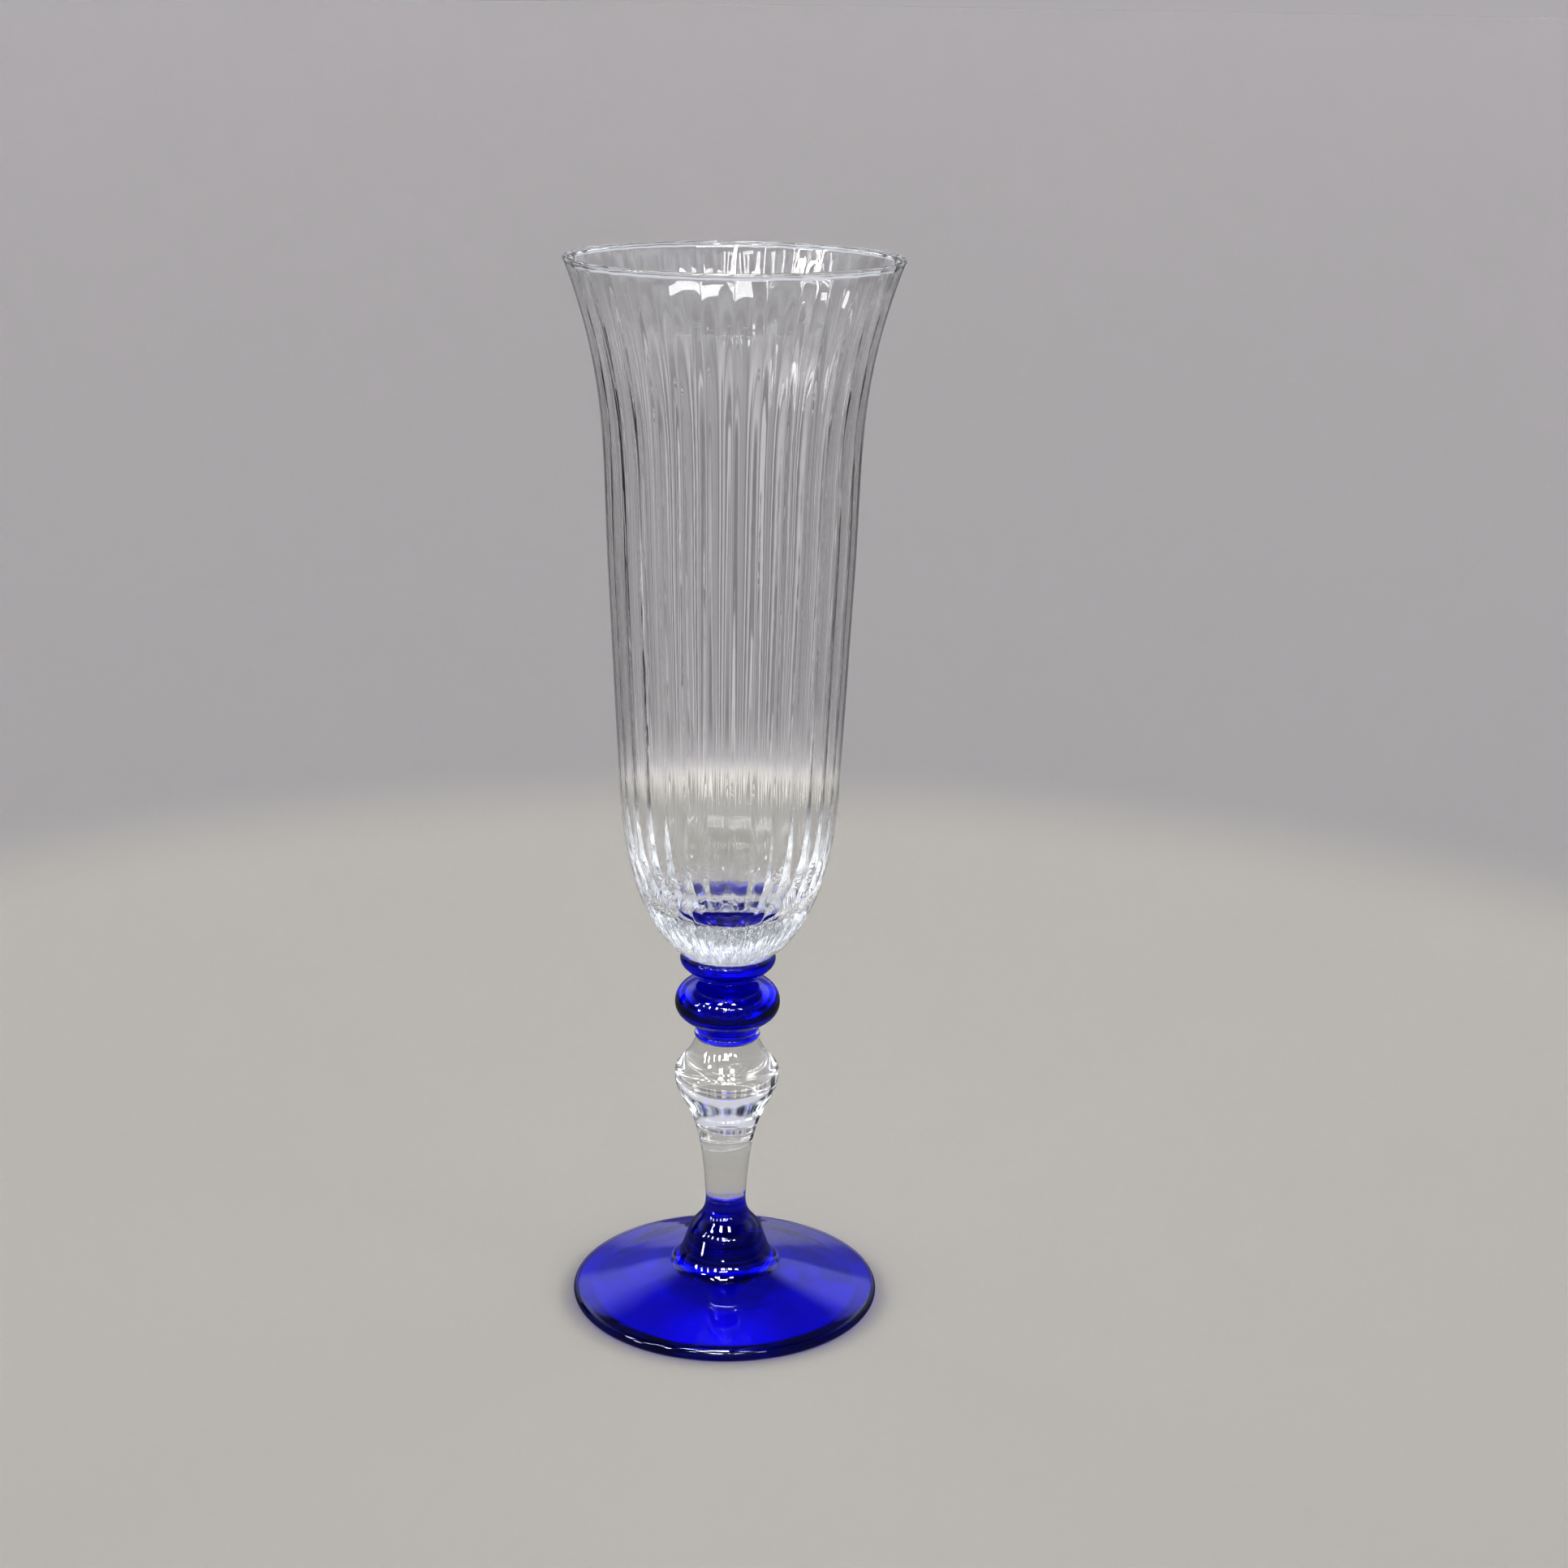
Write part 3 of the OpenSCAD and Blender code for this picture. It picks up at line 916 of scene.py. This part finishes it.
def room():
    """World colour: (a ramp by elevation) times (mottle) times (dark regions), plus windows."""
    world = bpy.data.worlds.new("studio")
    world.use_nodes = True
    bpy.context.scene.world = world
    tree = world.node_tree
    nodes, link, maths = tree.nodes, tree.links.new, node_maths(tree)

    place = nodes.new("ShaderNodeTexCoord")
    split = nodes.new("ShaderNodeSeparateXYZ")
    link(place.outputs["Generated"], split.inputs["Vector"])
    x, y, z = split.outputs
    azimuth = maths("DEGREES", maths("ARCTAN2", x, maths("MULTIPLY", y, -1.0)))
    elevation = maths("DEGREES", maths("ARCSINE", z))

    ramp = nodes.new("ShaderNodeValToRGB")
    link(maths("ADD", maths("DIVIDE", elevation, 180.0), 0.5), ramp.inputs["Fac"])
    stops = ramp.color_ramp.elements
    for number, (height, colour) in enumerate(SKY):
        stop = stops[number] if number < len(stops) else stops.new(1.0)
        stop.position = height / 180.0 + 0.5
        stop.color = (*colour, 1.0)

    behind = soft_step(tree, maths("ABSOLUTE", azimuth), *BEHIND)
    behind = maths("MULTIPLY", behind, soft_step(tree, elevation, *BEHIND_ABOVE))
    kept = maths("SUBTRACT", 1.0, maths("MULTIPLY", behind, BEHIND_DARKER))
    low = maths("MULTIPLY", soft_step(tree, elevation, *ASIDE_FROM),
                maths("SUBTRACT", 1.0, soft_step(tree, elevation, *ASIDE_TO)))
    low = maths("MULTIPLY", low, soft_step(tree, maths("ABSOLUTE", azimuth), *ASIDE))
    kept = maths("MULTIPLY", kept, maths("SUBTRACT", 1.0, maths("MULTIPLY", low, ASIDE_DARKER)))
    no_flag = maths("MAXIMUM", off_flag(tree, azimuth), soft_step(tree, elevation, *FLAG_TOP))
    kept = maths("MULTIPLY", kept, no_flag)
    path = nodes.new("ShaderNodeLightPath")
    front = maths("SUBTRACT", 1.0, soft_step(tree, maths("ABSOLUTE", azimuth), *FRONT_ENDS))
    shine = maths("MULTIPLY", maths("MULTIPLY", front, mirrored(tree, path)), 1.0 - FRONT_SHINE)
    kept = maths("MULTIPLY", kept, maths("SUBTRACT", 1.0, shine))

    mottle = noise(tree, place.outputs["Generated"], MOTTLE_SCALE, 1.0)
    uneven = maths("MULTIPLY", maths("SUBTRACT", mottle, 0.5), 2 * SKY_MOTTLE)
    uneven = maths("MULTIPLY", uneven, maths("SUBTRACT", 1.0, mirrored(tree, path)))
    uneven = maths("MULTIPLY", uneven, soft_step(tree, elevation, *MOTTLE_ABOVE))
    uneven = maths("MINIMUM", maths("MAXIMUM", maths("ADD", 1.0, uneven), MOTTLE_LEAST),
                   MOTTLE_MOST)

    light = 0.0
    for *values, strength in PATCHES:
        patch = nodes.new("ShaderNodeGroup")
        patch.node_tree = SKY_PATCH
        for socket, value in zip(patch.inputs, (azimuth, elevation, *values)):
            put(tree, socket, value)
        light = maths("ADD", light, maths("MULTIPLY", patch.outputs["Mask"], strength))

    by_glass = maths("MAXIMUM", path.outputs["Is Glossy Ray"], path.outputs["Is Transmission Ray"])
    light = maths("MULTIPLY", light, by_glass)

    wall = vector_maths(tree, "SCALE", ramp.outputs["Color"],
                        scale=maths("MULTIPLY", uneven, kept))
    total = vector_maths(tree, "ADD", wall, light)
    shown = blend(tree, path.outputs["Is Camera Ray"], total, BACKDROP)
    link(shown, nodes["Background"].inputs["Color"])
    return world


room()
print("room has", len(PATCHES), "windows")

# %% [markdown]
# ## How light is followed
# A ray through this glass crosses the front wall, the back wall, and perhaps a rib twice on the
# way, and a ray in the knop bounces inside it. So rays through glass get many more turns than
# the default, or the thick parts would go black. Colours are shown as they are, without a
# film curve, which would wash the cobalt out.

# %% Light paths and colour
scene = bpy.context.scene
scene.cycles.max_bounces = 32
scene.cycles.transmission_bounces = 32
scene.cycles.glossy_bounces = 16
scene.cycles.diffuse_bounces = 4
scene.view_settings.view_transform = "Standard"
scene.view_settings.look = "None"
scene.view_settings.gamma = 0.8
scene.view_settings.exposure = 0.42
print("view transform", scene.view_settings.view_transform)
